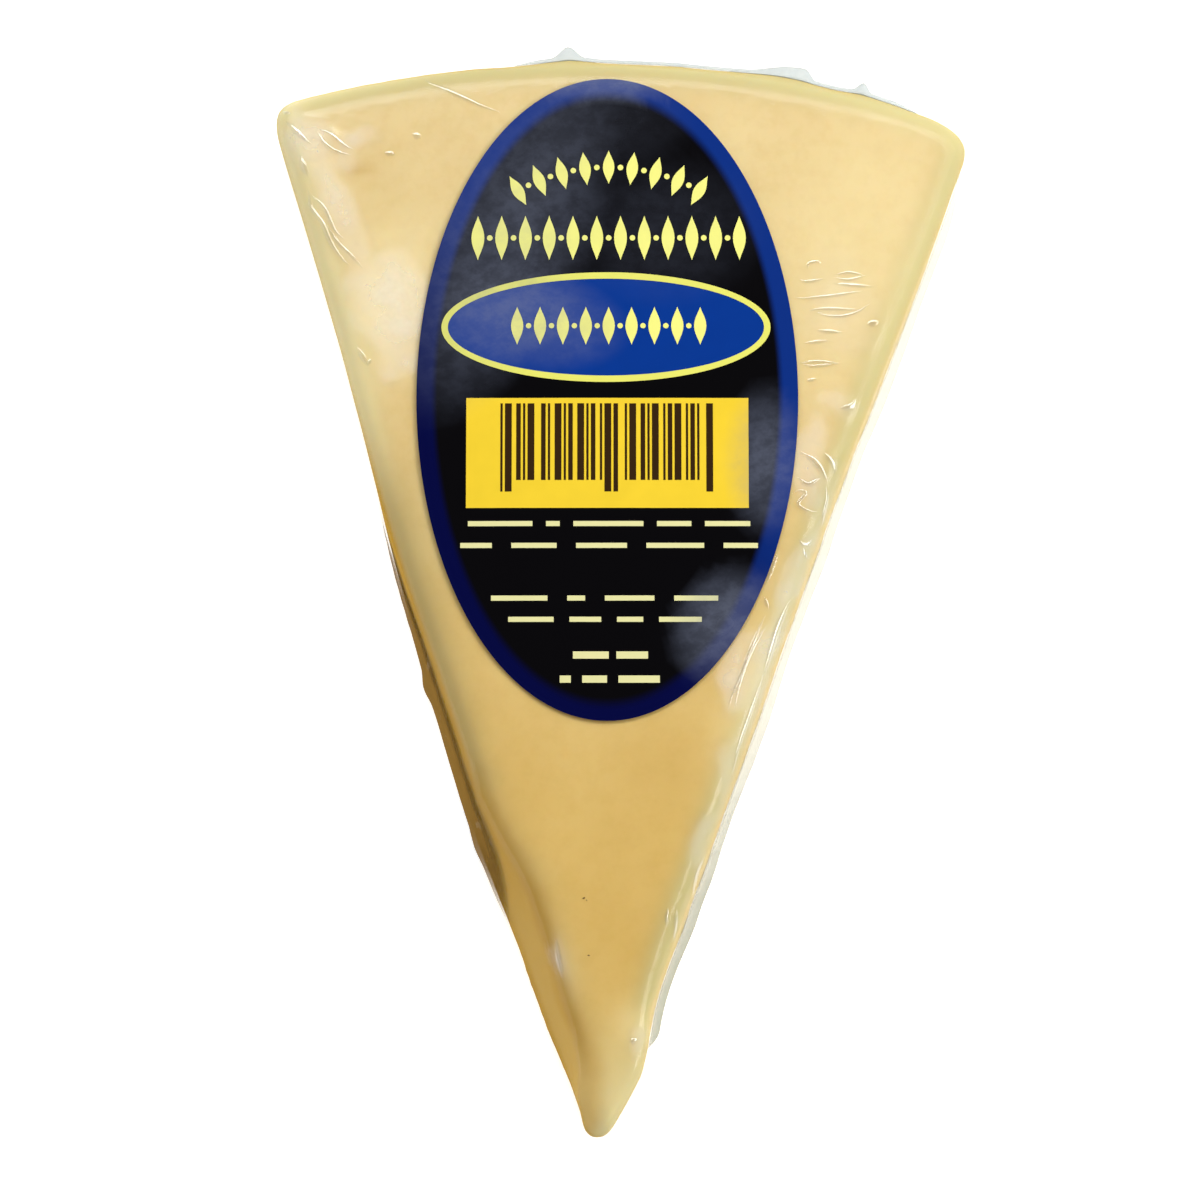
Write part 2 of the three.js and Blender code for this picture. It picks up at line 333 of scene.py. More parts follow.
# Soft folds of the film over the face: (route in mm, height in mm, half width in mm)
SOFT_FOLDS = (
    (((-49.5, 69.0), (-46.8, 63.6), (-45.6, 55.6), (-41.6, 48.6)), 0.22, 1.6),
    (((-44.2, 66.8), (-38.0, 63.6)), 0.18, 1.6),
    (((25.4, 42.8), (31.0, 42.4), (36.4, 43.2)), 0.10, 1.6),
    (((28.4, 27.0), (34.2, 27.2)), 0.14, 1.5),
    (((26.0, 20.6), (31.6, 17.6)), 0.14, 1.8),
    (((23.0, -4.6), (20.4, -13.0), (17.6, -23.0), (15.6, -30.0)), 0.14, 1.3),
    (((18.6, -7.0), (15.8, -17.0)), 0.16, 1.5),
)

# Pinched creases of the film: (width in mm, height in mm, points on its route in mm)
CREASES = (
    (0.5, 0.1, ((-50.2, 70.6), (-48.7, 70.0))),
    (0.9, 0.16, ((-49.5, 68.9), (-48.1, 67.6), (-46.7, 66.1), (-45.8, 65.4))),
    (1.0, 0.18, ((-47.3, 63.6), (-46.7, 61.6), (-46.1, 60.4))),
    (0.7, 0.16, (
        (-46.2, 58.8), (-45.9, 57.2), (-45.7, 55.9), (-44.1, 53.7),
        (-43.2, 51.5), (-42.4, 50.0), (-41.1, 48.2), (-39.7, 46.8),
    )),
    (0.5, 0.08, ((-45.7, 57.6), (-43.8, 55.9), (-42.2, 52.5), (-40.7, 50.9))),
    (0.5, 0.07, ((-43.5, 53.5), (-41.9, 50.8), (-39.8, 48.7), (-38.0, 46.6))),
    (0.6, 0.12, ((-44.8, 67.3), (-43.9, 65.7), (-42.6, 64.5), (-41.1, 63.9), (-39.8, 63.6))),
    (0.6, 0.1, ((-44.8, 67.5), (-43.0, 67.0), (-40.8, 65.1), (-39.5, 64.5))),
    (1.0, 0.1, ((-30.7, 66.9), (-29.5, 66.1))),
    (0.7, 0.08, ((-34.9, 64.0), (-33.3, 63.7))),
    (0.6, 0.12, ((-29.1, 75.2), (-28.1, 74.5), (-26.3, 73.7), (-23.7, 72.5), (-20.8, 71.1), (-17.8, 70.0))),
    (0.8, 0.14, ((-38.7, 34.9), (-37.9, 33.5), (-37.1, 32.1))),
    (0.6, 0.1, ((-37.1, 32.1), (-36.6, 33.2))),
    (0.5, 0.1, ((27.4, 46.5), (27.6, 47.3), (28.8, 47.6), (29.4, 47.1))),
    (0.45, 0.1, ((31.4, 45.5), (33.4, 46.0), (35.9, 45.5))),
    (0.4, 0.07, ((31.4, 45.2), (33.4, 44.9), (35.9, 45.5))),
    (0.5, 0.09, ((26.2, 44.9), (27.2, 44.6), (29.7, 45.0))),
    (0.5, 0.05, ((31.2, 44.3), (37.1, 43.8))),
    (0.5, 0.1, ((25.4, 42.2), (27.2, 42.1), (30.9, 42.5), (35.5, 43.2))),
    (0.5, 0.08, ((27.5, 40.2), (29.6, 40.5), (34.9, 40.4))),
    (0.5, 0.11, ((28.4, 40.1), (30.3, 39.5), (32.7, 39.5), (34.9, 40.2), (36.5, 41.3))),
    (0.9, 0.12, ((36.1, 38.2), (37.8, 38.7))),
    (0.6, 0.09, ((28.7, 37.3), (32.4, 37.0))),
    (0.5, 0.08, ((26.8, 35.4), (30.3, 35.8))),
    (0.5, 0.09, ((26.2, 32.4), (28.4, 32.7), (32.1, 32.4))),
    (0.4, 0.07, ((26.5, 32.3), (28.4, 32.0), (31.8, 32.4))),
    (0.5, 0.07, ((27.1, 29.8), (28.7, 30.1))),
    (1.0, 0.18, ((32.0, 25.7), (33.8, 26.1), (34.4, 27.2))),
    (1.0, 0.2, ((29.5, 19.2), (31.1, 17.6), (31.2, 16.1))),
    (0.9, 0.2, ((26.1, 19.3), (27.9, 18.2), (29.3, 16.7), (30.2, 14.9))),
    (0.8, 0.2, ((25.8, 15.5), (27.3, 14.6), (29.0, 15.5))),
    (0.45, 0.12, ((24.9, 13.0), (25.8, 13.6), (27.0, 13.3), (25.8, 11.7), (27.0, 10.8), (28.5, 10.5))),
    (0.5, 0.13, ((29.9, 14.5), (30.1, 12.6), (29.7, 10.5), (29.4, 8.6))),
    (0.5, 0.12, ((25.9, 6.5), (26.4, 5.8), (27.3, 5.8), (27.9, 6.6))),
    (0.5, 0.1, ((26.5, 5.2), (27.1, 3.7))),
    (0.7, 0.12, ((22.8, 4.4), (21.8, 2.0), (20.9, -0.4))),
    (0.5, 0.1, ((20.8, -2.0), (21.4, -3.7))),
    (0.55, 0.14, ((20.9, -4.7), (19.4, -8.1), (17.7, -12.4), (16.0, -16.4), (15.5, -18.4))),
    (0.5, 0.13, ((21.3, -6.1), (20.1, -7.7), (18.4, -11.1), (17.0, -15.1), (16.4, -18.4))),
    (1.1, 0.24, ((24.6, -2.4), (22.8, -6.3), (21.4, -11.1), (20.7, -13.5))),
    (0.6, 0.16, ((20.7, -13.0), (20.0, -15.4), (18.4, -19.7), (17.0, -23.8), (16.0, -28.1))),
    (0.5, 0.1, ((12.0, -39.7), (11.0, -42.0), (10.3, -45.6))),
    (0.5, 0.12, ((6.7, -46.9), (6.4, -49.6))),
    (0.45, 0.12, ((8.0, -46.9), (7.9, -49.3), (7.5, -52.0))),
    (0.9, 0.2, ((-9.4, -51.3), (-9.0, -54.3), (-8.4, -57.2))),
    (1.2, 0.2, ((1.5, -65.6), (2.0, -66.4))),
)

# Patches of fine crinkle: (centre in mm, half size across and along in mm, turn in degrees, strength)
CRINKLES = (
    ((-34.4, 42.0), (6.4, 10.4), 12, 1.0),
    ((-32.6, 33.2), (4.2, 3.0), 0, 0.9),
    ((-42.4, 56.0), (3.6, 12.0), -24, 0.75),
    ((-46.4, 66.6), (3.0, 5.6), -20, 0.9),
    ((-38.8, 64.4), (4.2, 2.6), -30, 0.8),
    ((27.6, 17.6), (3.4, 8.0), 8, 0.7),
    ((31.4, 26.6), (4.2, 2.0), 14, 0.7),
    ((16.6, -12.6), (3.0, 7.0), 20, 1.0),
    ((32.0, 41.0), (7.0, 9.0), 0, 0.3),
    ((24.4, -4.0), (2.8, 26.0), 20, 0.75),
    ((13.6, -34.0), (2.2, 16.0), 20, 0.5),
    ((-8.8, -54.3), (1.2, 4.0), -12, 0.6),
    ((1.8, -66.0), (1.2, 2.0), 10, 0.55),
)


# Where the film's sheen is painted pale into the cheese's colour: (centre, half size across and along, in mm, turn in
# degrees, strength)
SHEEN_PATCHES = (
    ((-35.5, 41.0), (6.5, 12.0), 12, 0.60),
    ((-43.5, 58.0), (4.5, 14.0), -24, 0.35),
    ((36.0, 50.0), (13.0, 22.0), 20, 0.30),
    ((18.5, -14.0), (3.0, 14.0), 20, 0.45),
    ((-8.0, -55.0), (1.2, 4.5), -14, 0.5),
    ((1.2, -64.0), (2.2, 3.2), 0, 0.5),
)


def oval_reach(x, y, middle, half, turn):
    """How far out points in mm lie from the middle of a turned ellipse, squared: 1 on its line."""
    cos, sin = math.cos(math.radians(turn)), math.sin(math.radians(turn))
    across = ((x - middle[0]) * cos - (y - middle[1]) * sin) / half[0]
    along = ((x - middle[0]) * sin + (y - middle[1]) * cos) / half[1]
    return across**2 + along**2


def film_relief(x, y):
    """How far the film over the face stands off its smooth shape, in mm, at points in mm."""
    lift = np.zeros(x.shape)
    for route, rise, half_width in SOFT_FOLDS:
        gap, along = to_route(route, x, y)
        fade = np.clip(np.sin(np.pi * np.clip(along, 0.03, 0.97)) * 1.6, 0, 1)
        lift += rise * fade * np.exp(-((gap / half_width) ** 2))
    return lift


def crinkle_share(x, y):
    """How crinkled the film is at points in mm, from 0 to 1."""
    most = np.zeros(x.shape)
    for middle, half, turn, strength in CRINKLES:
        reach = oval_reach(x, y, middle, half, turn)
        most = np.maximum(most, strength * np.clip(1.1 - reach, 0, 1) ** 1.3)
    return most


def painted_sheen_share(x, y):
    """How much painted highlight of the film's sheen the cheese takes at points in mm, from 0 to 1."""
    most = np.zeros(x.shape)
    for middle, half, turn, strength in SHEEN_PATCHES:
        most = np.maximum(most, strength * np.exp(-oval_reach(x, y, middle, half, turn)))
    return most


def broad_waves(points, size, seed):
    """A gentle unevenness of the surface, from -1 to 1, with humps of this size in mm."""
    return np.array([noise.noise(Vector(p) / (size * MM) + Vector((seed, 0, 0))) for p in points])


def add(tree, kind, settings_=None, inputs=None):
    """Adds a shader node with its own settings, and with values or other nodes' outputs on its inputs."""
    made = tree.nodes.new("ShaderNode" + kind)
    for name, value in (settings_ or {}).items():
        setattr(made, name, value)
    for name, value in (inputs or {}).items():
        socket = made.inputs[name]
        if isinstance(value, bpy.types.NodeSocket):
            tree.links.new(value, socket)
        else:
            socket.default_value = value
    return made


def opaque(value):
    return (*value, 1.0)


def new_material(name):
    """A material with its node tree emptied down to its output."""
    material = bpy.data.materials.new(name)
    material.use_nodes = True
    tree = material.node_tree
    tree.nodes.clear()
    output = tree.nodes.new("ShaderNodeOutputMaterial")
    return material, tree, output


def object_place(tree):
    return add(tree, "TexCoord").outputs["Object"]


def attribute(tree, name):
    return add(tree, "Attribute", {"attribute_name": name}).outputs["Fac"]


def grain(tree, place, size, detail=2.0, roughness=0.5, kind="FBM"):
    """Noise, from 0 to 1, whose largest spots have about this size in mm."""
    inputs = {"Vector": place, "Scale": 1 / (size * MM), "Detail": detail, "Roughness": roughness}
    return add(tree, "TexNoise", {"noise_type": kind}, inputs).outputs["Fac"]


def ranged(tree, value, low, high, least, most, smooth=False):
    """A number that goes from least to most while value goes from low to high."""
    kind = {"interpolation_type": "SMOOTHSTEP" if smooth else "LINEAR"}
    inputs = {"Value": value, "From Min": low, "From Max": high, "To Min": least, "To Max": most}
    return add(tree, "MapRange", kind, inputs).outputs["Result"]


def scaled(tree, value, factor, plus=0.0, clamp=False):
    """value times factor, and plus; each is a number or an output."""
    how = {"operation": "MULTIPLY_ADD", "use_clamp": clamp}
    return add(tree, "Math", how, {0: value, 1: factor, 2: plus}).outputs["Value"]


def stretched(tree, place, turn, along):
    """Coordinates turned by some degrees and then stretched, for a grain that runs one way."""
    inputs = {"Vector": place, "Rotation": (0, 0, math.radians(turn)), "Scale": (1.0, along, 1.0)}
    return add(tree, "Mapping", None, inputs).outputs["Vector"]


def bumps(tree, height, strength, depth):
    """Bumps in the surface, with their depth in mm."""
    inputs = {"Height": height, "Strength": strength, "Distance": depth * MM}
    return add(tree, "Bump", None, inputs).outputs["Normal"]


def blend_colours(tree, share, first, second):
    """A colour mix; share, first and second are values or outputs."""
    inputs = {0: share, 6: first, 7: second}
    return add(tree, "Mix", {"data_type": "RGBA", "blend_type": "MIX"}, inputs).outputs[2]


def surfaced(tree, output, inputs):
    """Ends a material in one solid surface."""
    shader = add(tree, "BsdfPrincipled", None, inputs)
    tree.links.new(shader.outputs["BSDF"], output.inputs["Surface"])


def see_through(tree, output, tint, share, inputs):
    """Ends a material in a clear layer, which the surface hides by this share."""
    clear = add(tree, "BsdfTransparent", None, {"Color": tint})
    surface = add(tree, "BsdfPrincipled", None, inputs)
    mixed = add(tree, "MixShader", None, {0: share, 1: clear.outputs["BSDF"], 2: surface.outputs["BSDF"]})
    tree.links.new(mixed.outputs["Shader"], output.inputs["Surface"])


def cheese_material():
    """Hard cow's milk cheese, cut: waxy and slightly see-through, a fine even paste with faint mottling, no eyes."""
    look = settings().cheese
    material, tree, output = new_material("hard_cheese_paste")
    place = object_place(tree)
    clouds = grain(tree, place, 22, detail=3.0)
    fine = grain(tree, place, 2.2, detail=4.0, roughness=0.6)
    along = add(tree, "SeparateXYZ", None, {"Vector": place}).outputs["Y"]
    towards_rind = ranged(tree, along, -0.045, 0.055, 0.0, 1.0, smooth=True)
    tone = blend_colours(tree, towards_rind, opaque(look.paste), opaque(look.pale))
    # over the tone: the paste's own deep mottle, then painted colours: shade and light on the rounded edges, shade on
    # the slopes and down the walls, the highlight of the film's sheen, and the shadow in the fold
    layers = (
        (ranged(tree, clouds, 0.35, 0.65, 0.0, 0.2), look.deep_and_wall_shade),
        (ranged(tree, fine, 0.42, 0.72, 0.0, 0.12), look.deep_and_wall_shade),
        (attribute(tree, "edge_light_and_shade"), look.edge),
        (attribute(tree, "slope_shade"), look.olive_shade),
        (attribute(tree, "wall_shade_and_spot"), look.deep_and_wall_shade),
        (attribute(tree, "lit"), look.lit),
        (attribute(tree, "fold_shadow_share"), look.fold_shadow),
    )
    for share, over in layers:
        tone = blend_colours(tree, share, tone, opaque(over))
    inputs = {
        "Base Color": tone,
        "Roughness": 0.6,
        "Specular IOR Level": 0.0,  # the film lies wet on it, so the gloss is the film's
        "Subsurface Weight": 0.3,
        "Subsurface Radius": (1.0, 0.62, 0.25),
        "Subsurface Scale": 0.002,
        "Normal": bumps(tree, fine, 0.12, 0.2),
    }
    surfaced(tree, output, inputs)
    return material


def fleck_material(base):
    """A dark grain in the paste: one matt colour with a faint mottle."""
    material, tree, output = new_material("dark_fleck")
    patchy = grain(tree, object_place(tree), 0.6)
    toned = blend_colours(tree, patchy, opaque(base), opaque([c * 0.6 for c in base]))
    surfaced(tree, output, {"Base Color": toned, "Roughness": 0.6})
    return material


def film_material(name, crinkled):
    """Clear nylon and polyethylene film, drawn tight by a vacuum: it shows the cheese and adds a gloss, whitish where
    fine crinkles break it up. The real crinkles are about half as wide. Without crinkles it makes the creases, which
    are brighter and fade out towards their sides."""
    look = settings().film
    material, tree, output = new_material(name)
    place = object_place(tree)
    height = grain(tree, place, 2.4, detail=2.0, roughness=0.45)
    if crinkled:
        mask = attribute(tree, "crinkle")
        fine = grain(tree, stretched(tree, place, 38, 3.2), 3.0, 4.0, 0.62, "RIDGED_MULTIFRACTAL")
        height = scaled(tree, scaled(tree, fine, mask), 0.2, height)
        blotched = ranged(tree, grain(tree, place, 5.0, 3.0, 0.55), 0.25, 0.75, 0.20, 0.42, smooth=True)
        share = scaled(tree, blotched, mask, attribute(tree, "gloss"))
        rough = scaled(tree, mask, 0.2, look.roughness)
        metal = scaled(tree, mask, -3.0, 1.0, clamp=True)
    else:
        share, rough, metal = scaled(tree, attribute(tree, "shown"), 0.28), 0.12, 0.8
    inputs = {"Base Color": opaque(look.haze_and_sheen), "Metallic": metal, "Roughness": rough}
    inputs["Normal"] = bumps(tree, height, 1.0, 0.09)
    see_through(tree, output, (0.985, 0.985, 0.98, 1), share, inputs)
    return material


def welded_film_material(name, tint, solid, shine):
    """Two layers of film welded or laid together: milky, with a soft gloss. solid says how much it hides of what
    lies behind it, and the attribute shown fades it out."""
    material, tree, output = new_material(name)
    cloud = grain(tree, object_place(tree), 3.5, detail=3.0, roughness=0.6)
    share = ranged(tree, cloud, 0.3, 0.7, solid * 0.9, min(1.0, solid * 1.1))
    hiding = scaled(tree, share, attribute(tree, "shown"))
    inputs = {"Base Color": opaque(tint), "Roughness": 0.3, "Specular IOR Level": shine}
    see_through(tree, output, (0.96, 0.965, 0.97, 1), hiding, inputs)
    return material


def ellipse_reach(tree, place, middle, half):
    """How far a point lies out from the middle of an ellipse: 1 on its line."""
    moved = add(tree, "VectorMath", {"operation": "SUBTRACT"}, {0: place, 1: (middle[0], middle[1], 0)})
    sizes = (1 / half[0], 1 / half[1], 0)
    sized = add(tree, "VectorMath", {"operation": "MULTIPLY"}, {0: moved.outputs["Vector"], 1: sizes})
    return add(tree, "VectorMath", {"operation": "LENGTH"}, {0: sized.outputs["Vector"]}).outputs["Value"]


def label_finish(tree, place, print_colour):
    """Print under the label's varnish, as inputs for its shader: glossy, with fine broken creases, and with a haze
    that comes and goes, where the varnish is rougher and a painted sheen lightens the print's colour."""
    haze_and_sheen = attribute(tree, "haze_and_sheen")
    turned = stretched(tree, place, -35, 1.3)
    weave = grain(tree, turned, 3.4, detail=4.0, roughness=0.65)
    ripple = grain(tree, turned, 2.6, detail=1.0, roughness=0.4)
    swell = grain(tree, place, 13, detail=1.5)
    # where the label is hazed, its colour is lightened in a broken grain: painted sheen
    sheen_grain = ranged(tree, weave, 0.34, 0.68, 0.30, 0.52, smooth=True)
    fine = scaled(tree, ripple, scaled(tree, haze_and_sheen, 0.6, 0.12))
    return {
        "Base Color": blend_colours(tree, scaled(tree, sheen_grain, haze_and_sheen), print_colour, opaque(settings().label.haze_and_sheen)),
        "Roughness": scaled(tree, haze_and_sheen, 0.2, 0.1),
        "Normal": bumps(tree, scaled(tree, swell, 2.0, fine), 1.0, 0.04),
        "IOR": 1.45,
    }


def label_material():
    """Coated label paper, printed dark with a blue band: the print is flat, its varnish catches soft light."""
    look = settings().label
    material, tree, output = new_material("varnished_label_paper")
    place = object_place(tree)
    half = (LABEL_HALF.x - look.rim_width, LABEL_HALF.y - look.rim_width)
    inner = ellipse_reach(tree, place, (LABEL_MIDDLE.x, LABEL_MIDDLE.y), half)
    band = ranged(tree, inner, 0.982, 1.03, 0.0, 1.0, smooth=True)
    split = add(tree, "SeparateXYZ", None, {"Vector": place})
    # the blue band darkens towards the lower left: painted shade
    diagonal = scaled(tree, split.outputs["X"], 1.0, split.outputs["Y"])
    upwards = ranged(tree, diagonal, -0.010, 0.046, 0.0, 1.0, smooth=True)
    blue = blend_colours(tree, upwards, opaque(look.shaded_rim), opaque(look.rim))
    printed = blend_colours(tree, band, opaque(look.field), blue)
    surfaced(tree, output, label_finish(tree, place, printed))
    return material


def ink_material(name, ink):
    """Printing ink under the same varnish as the label: one flat colour that thins a little here and there."""
    material, tree, output = new_material(name)
    place = object_place(tree)
    thinned = ranged(tree, grain(tree, place, 4), 0.3, 0.8, 0.0, 0.12)
    toned = blend_colours(tree, thinned, opaque(ink), opaque([c * 0.55 for c in ink]))
    surfaced(tree, output, label_finish(tree, place, toned))
    return material


def paper_material():
    """The cut edge of the label's paper: matt, and grey from the ink of its face."""
    material, tree, output = new_material("label_paper_edge")
    fibre = grain(tree, object_place(tree), 0.5)
    normal = bumps(tree, fibre, 0.2, 0.05)
    surfaced(tree, output, {"Base Color": opaque(settings().label.paper), "Roughness": 0.75, "Normal": normal})
    return material


# The label lies on the pack's low crown, in mm: the top, how far it drops at a reach across and along, its middle
CROWN_TOP = 23.85
CROWN_DROP = 0.9
CROWN_REACH = (52.0, 82.0)
CROWN_CENTRE = (0.191, 11.230)
LABEL_WAVES = (  # (waves a mm across, waves a mm along, phase, height in mm): the label's soft unevenness
    (0.071, 0.023, 0.4, 0.022),
    (-0.032, 0.064, 1.9, 0.022),
    (0.118, -0.052, 4.1, 0.006),
)
# Where the label's varnish is hazed and a sheen is painted into its colour: (centre, half size across and along, in
# mm, turn in degrees, strength)
LABEL_SHEEN = (
    ((-17.0, 50.0), (13.0, 30.0), -25, 0.55),
    ((-3.0, 69.0), (15.0, 9.0), 0, 0.12),
    ((-2.0, 74.4), (15.0, 3.0), 0, 1.0),
    ((-13.0, 39.0), (15.0, 8.0), -10, 0.7),
    ((21.0, 18.0), (6.5, 12.0), 0, 0.75),
    ((15.0, -6.0), (8.0, 10.0), -35, 0.9),
    ((6.0, 52.0), (16.0, 12.0), 0, 0.15),
)


def label_sheen(x, y):
    """How hazed the label is, and how much painted sheen it takes, at points in mm, from 0 to 1."""
    clear = np.ones(x.shape)
    for middle, half, turn, strength in LABEL_SHEEN:
        reach = oval_reach(x, y, middle, half, -turn)
        clear *= 1 - strength * np.clip(1 - reach, 0, None) ** 1.2
    return 1 - clear


def with_sheen(piece):
    """Keeps the label's haze and painted sheen on a piece of its print, for the varnish to read."""
    points = coordinates(piece.data) / MM
    put_attribute(piece.data, "haze_and_sheen", label_sheen(points[:, 0], points[:, 1]))
    return piece


def label_face(x, y):
    """The height of the label's face in mm, at a place in mm."""
    off_x, off_y = (x - CROWN_CENTRE[0]) / CROWN_REACH[0], (y - CROWN_CENTRE[1]) / CROWN_REACH[1]
    waves = 0.0
    for across, along, phase, rise in LABEL_WAVES:
        waves += rise * math.sin(2 * math.pi * (x * across + y * along) + phase)
    return CROWN_TOP - CROWN_DROP * (off_x**2 + off_y**2) + waves


def disc(rings, sides):
    """A flat disc of radius 1, of even rings round its middle."""
    bm = bmesh.new()
    bmesh.ops.create_grid(bm, x_segments=sides, y_segments=rings, size=0.5)
    for vert in bm.verts:
        angle, reach = 2 * math.pi * (vert.co.x + 0.5), vert.co.y + 0.5
        vert.co = (reach * math.cos(angle), reach * math.sin(angle), 0)
    bmesh.ops.remove_doubles(bm, verts=bm.verts, dist=0.0001)
    return bm


def on_label(bm, lift):
    """Lays a flat bmesh in mm on the label's face, lift mm above it, and turns it into metres."""
    for vert in bm.verts:
        x, y = vert.co.x, vert.co.y
        vert.co = Vector((x, y, label_face(x, y) + lift)) * MM


TREES = {}  # search trees of the finished cheese and film, for the pieces that lie on them


def near(gap, width):
    """1 where the gap is 0, falling off smoothly over this width."""
    return np.exp(-((gap / width) ** 2))


def put_edge_shares(mesh, points, out):
    """Keeps for each vertex how much it takes of the painted colours: shade and light on the pale rounded edges,
    shade on the olive slopes and the deep walls, the pale highlight of the film's sheen, and the shadow of the dark
    fold."""
    x, y, z = (points[:, i] / MM for i in range(3))
    right, back, up = out[:, 0], out[:, 1], out[:, 2]
    low_down = smooth_step(45, 5, y)
    left = smooth_step(0.2, 0.6, -right)
    leaning_left = smooth_step(0.04, 0.32, -right)
    above = smooth_step(-0.1, 0.3, up)

    # the tip and the rounded edges take a pale greenish colour: painted shade and light
    tip = smooth_step(-58, -78, y) * smooth_step(0.2, 0.7, up) * (1 - 0.9 * leaning_left)
    edge_light_and_shade = 0.8 * smooth_step(0.999, 0.93, up) * above * (1 - 0.95 * leaning_left * low_down)
    put_attribute(mesh, "edge_light_and_shade", blurred(mesh, np.maximum(edge_light_and_shade, 0.5 * tip), 9))

    # painted shade where the face slopes down to the left cut, and on the edges that face the lights
    slope = 0.5 * near(to_route(LEFT_BROW, x, y)[0], 3.6) * smooth_step(26, 6, y)
    shade_on_lit_edges = smooth_step(0.03, 0.22, np.maximum(right, back)) * above
    put_attribute(mesh, "slope_shade", blurred(mesh, np.maximum(slope, 0.34 * shade_on_lit_edges), 9))

    # painted shade down the cut walls, strongest on the left wall, weaker on the right, at the rind and low at the
    # tip
    side = 1 - 0.75 * smooth_step(0.2, 0.5, right) - 0.5 * smooth_step(0.5, 0.8, back) - 0.5 * left * (1 - low_down)
    pale_tip = 1 - 0.35 * smooth_step(-30, -60, y) * smooth_step(3, 9, z)
    wall_shade_and_spot = side * smooth_step(0.75, 0.25, np.abs(up)) * pale_tip
    # a small darker spot on the face
    dark_spot = 0.4 * near(x + 38.7, 2.2) * near(y - 61.4, 0.9)
    # painted shade along the left ridge near the tip
    ridge_shade = 0.85 * near(to_route(LOWER_BROW, x, y)[0], 2.0) * smooth_step(-75, -62, y)
    put_attribute(mesh, "wall_shade_and_spot", np.maximum(np.maximum(wall_shade_and_spot, dark_spot), ridge_shade))

    # painted highlight: pale colour where the film's sheen lies, along the upper left edge and at the tip
    lit_left_edge = 0.75 * leaning_left * smooth_step(8, 34, y) * smooth_step(0.0, 0.4, up)
    lit = np.maximum(np.maximum(painted_sheen_share(x, y) * smooth_step(0.5, 0.9, up), lit_left_edge), 0.5 * tip)
    put_attribute(mesh, "lit", blurred(mesh, lit, 6))

    # painted shadow in the fold of the left wall
    fold_gap, fold_along = to_route(FOLD_SHADOW_ROUTE, x, y)
    fold_shadow_share = 0.85 * near(fold_gap, 1.3) * np.sin(np.pi * fold_along) * smooth_step(0.8, 0.4, up)
    put_attribute(mesh, "fold_shadow_share", blurred(mesh, fold_shadow_share, 4))


FLECKS = (  # dark flecks in the face: (place in mm, length in mm, turn)
    ((-5.4, -45.6), 0.42, 0.5),
    ((-4.7, -53.8), 0.36, -0.2),
    ((-5.0, -45.9), 0.2, 1.2),
)


class WEDGE_OT_cheese(bpy.types.Operator):
    """The wedge of cheese itself, just under the film, and the few dark flecks in its face"""

    bl_idname = "wedge_pack.cheese"
    bl_label = "Cheese"

    def execute(self, context):
        look = settings().cheese
        mesh = bare_wedge("cheese_wedge", look.voxel)
        points, out = coordinates(mesh), normals(mesh)
        points -= out * look.film_gap
        points += out * (0.06 * MM * broad_waves(points, 9, 3))[:, None]
        points[:, 2] = np.maximum(points[:, 2], 0.1 * MM)
        put_coordinates(mesh, points)
        put_edge_shares(mesh, points, out)
        TREES["cheese"] = search_tree(mesh)
        piece = finished("cheese_wedge", mesh, [cheese_material()])
        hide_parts(WEDGE_NODE)

        bm = bmesh.new()
        for (x, y), wide, turn in FLECKS:
            made = bmesh.ops.create_icosphere(bm, subdivisions=2, radius=0.5)
            bmesh.ops.scale(bm, vec=(wide, wide * 0.5, 0.12), verts=made["verts"])
            place = Matrix.Translation((x, y, on_face("cheese", x, y) + 0.02)) @ Matrix.Rotation(turn, 4, "Z")
            bmesh.ops.transform(bm, matrix=place, verts=made["verts"])
        bmesh.ops.scale(bm, vec=(MM, MM, MM), verts=bm.verts)
        finished("paste_flecks", bm, [fleck_material(look.fleck)])
        return {"FINISHED"}


def on_face(name, x, y):
    """The height in mm of the cheese or the film at a place in mm, seen from above."""
    hit = TREES[name].ray_cast(Vector((x, y, 60)) * MM, Vector((0, 0, -1)))[0]
    return (hit.z if hit else 0.0) / MM


RIND_CENTRE = Vector((-5.2, -95.2, 0))  # the rind is an arc round this point in plan, in mm
RIND_RADIUS = 173.7
RIGHT_OUT = Vector((0.9363, -0.3511, 0))  # the way that the right and the left cut face
LEFT_OUT = Vector((-0.9557, -0.2943, 0))


def wall_facing(side, place):
    """A point near a wall in plan, in mm, and the direction that the wall faces."""
    if side == "rind":
        across = place - RIND_CENTRE.x
        out = Vector((across, math.sqrt(RIND_RADIUS**2 - across**2), 0)).normalized()
        return RIND_CENTRE + out * RIND_RADIUS, out
    if side == "right":
        return Vector((ridge_right(place), place, 0)), RIGHT_OUT
    return Vector((ridge_left(place), place, 0)), LEFT_OUT


def wall_hit(side, place, height):
    """Where the film's wall stands, in mm, at a place along a side and a height in mm, and the way out of it."""
    point, out = wall_facing(side, place)
    start = point + out * 14 + Vector((0, 0, height))
    hit = TREES["cheese"].ray_cast(start * MM, -out)[0]
    on_cheese = hit / MM if hit else point + Vector((0, 0, height))
    return on_cheese + out * settings().cheese.film_gap / MM, out


def wall_ribbon(side, span, shape, steps=2.0, rows=6):
    """A strip of film along a wall. shape(place, across) gives its height and its stand-off in mm, and how much of
    it shows."""
    bm = bmesh.new()
    columns = int(abs(span[1] - span[0]) * steps)
    bmesh.ops.create_grid(bm, x_segments=columns, y_segments=rows, size=0.5)
    shown = bm.verts.layers.float.new("shown")
    for vert in bm.verts:
        place = span[0] + (span[1] - span[0]) * (vert.co.x + 0.5)
        height, stand, vert[shown] = shape(place, vert.co.y + 0.5)
        hit, out = wall_hit(side, place, height)
        vert.co = (hit + out * stand) * MM
    return bm


